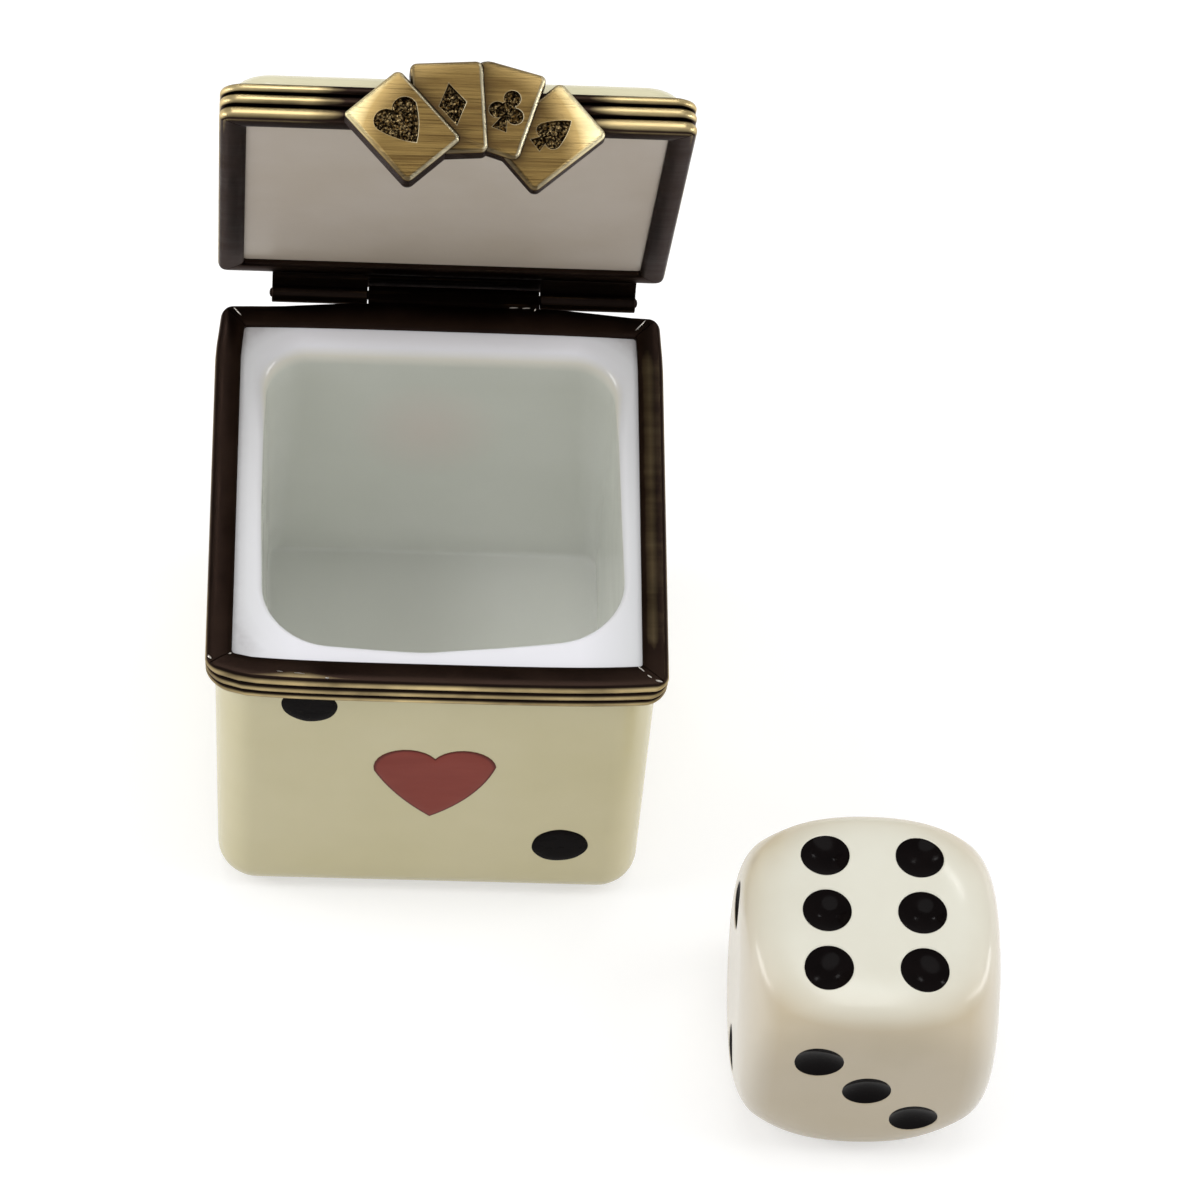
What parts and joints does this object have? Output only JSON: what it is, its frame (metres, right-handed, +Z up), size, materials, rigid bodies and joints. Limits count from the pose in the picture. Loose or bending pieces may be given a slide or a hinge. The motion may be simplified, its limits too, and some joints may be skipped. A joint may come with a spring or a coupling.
{
  "type": "hinged dice box",
  "caption": "Cube-shaped porcelain box painted like a die, with a hinged lid in bronze bezels, a clasp cast as fanned playing cards, and a loose die that fits inside.",
  "frame": {"origin": "on the table, under the middle of the box's flat foot", "axes": "+X to the right along the front of the box, +Y from the front towards the hinge, +Z up"},
  "size_m": [0.0766, 0.0785, 0.0868],
  "materials": {
    "porcelain": "cream glaze outside, white glaze inside",
    "bezel_bronze": "antiqued bronze, rubbed bright on the reeds and dark in the grooves and on the flange",
    "hinge_bronze": "dark antiqued bronze with silver solder at the joints",
    "clasp_brass": "brushed antiqued brass with dark stippled suits",
    "black_enamel": "glossy black painted enamel",
    "red_enamel": "brick red painted enamel with a darker edge",
    "die_ivory": "ivory moulded resin, polished",
    "die_paint": "glossy black paint in the pips"
  },
  "bodies": {
    "box": {"porcelain_base": "porcelain", "base_bezel": "bezel_bronze", "base_knuckle": "hinge_bronze", "front_pips": "black_enamel", "front_heart": "red_enamel", "left_pips": "black_enamel", "right_pips": "black_enamel", "back_pips": "black_enamel"},
    "lid": {"porcelain_lid": "porcelain", "lid_bezel": "bezel_bronze", "lid_knuckle_left": "hinge_bronze", "lid_knuckle_right": "hinge_bronze", "hinge_pin": "hinge_bronze", "card_clasp": "clasp_brass", "lid_pips": "black_enamel"},
    "die": {"die_body": "die_ivory", "die_pips": "die_paint"}
  },
  "joints": [
    {"name": "lid_hinge", "type": "hinge", "parent": "box", "child": "lid", "pos_m": [0.00135, 0.02425, 0.03855], "axis": [-1, 0, 0], "range_deg": [-70.5, 39.5]},
    {"name": "die_lift", "type": "slide", "parent": "box", "child": "die", "axis": [0, 0, 1], "range_m": [0, 0.06]}
  ]
}
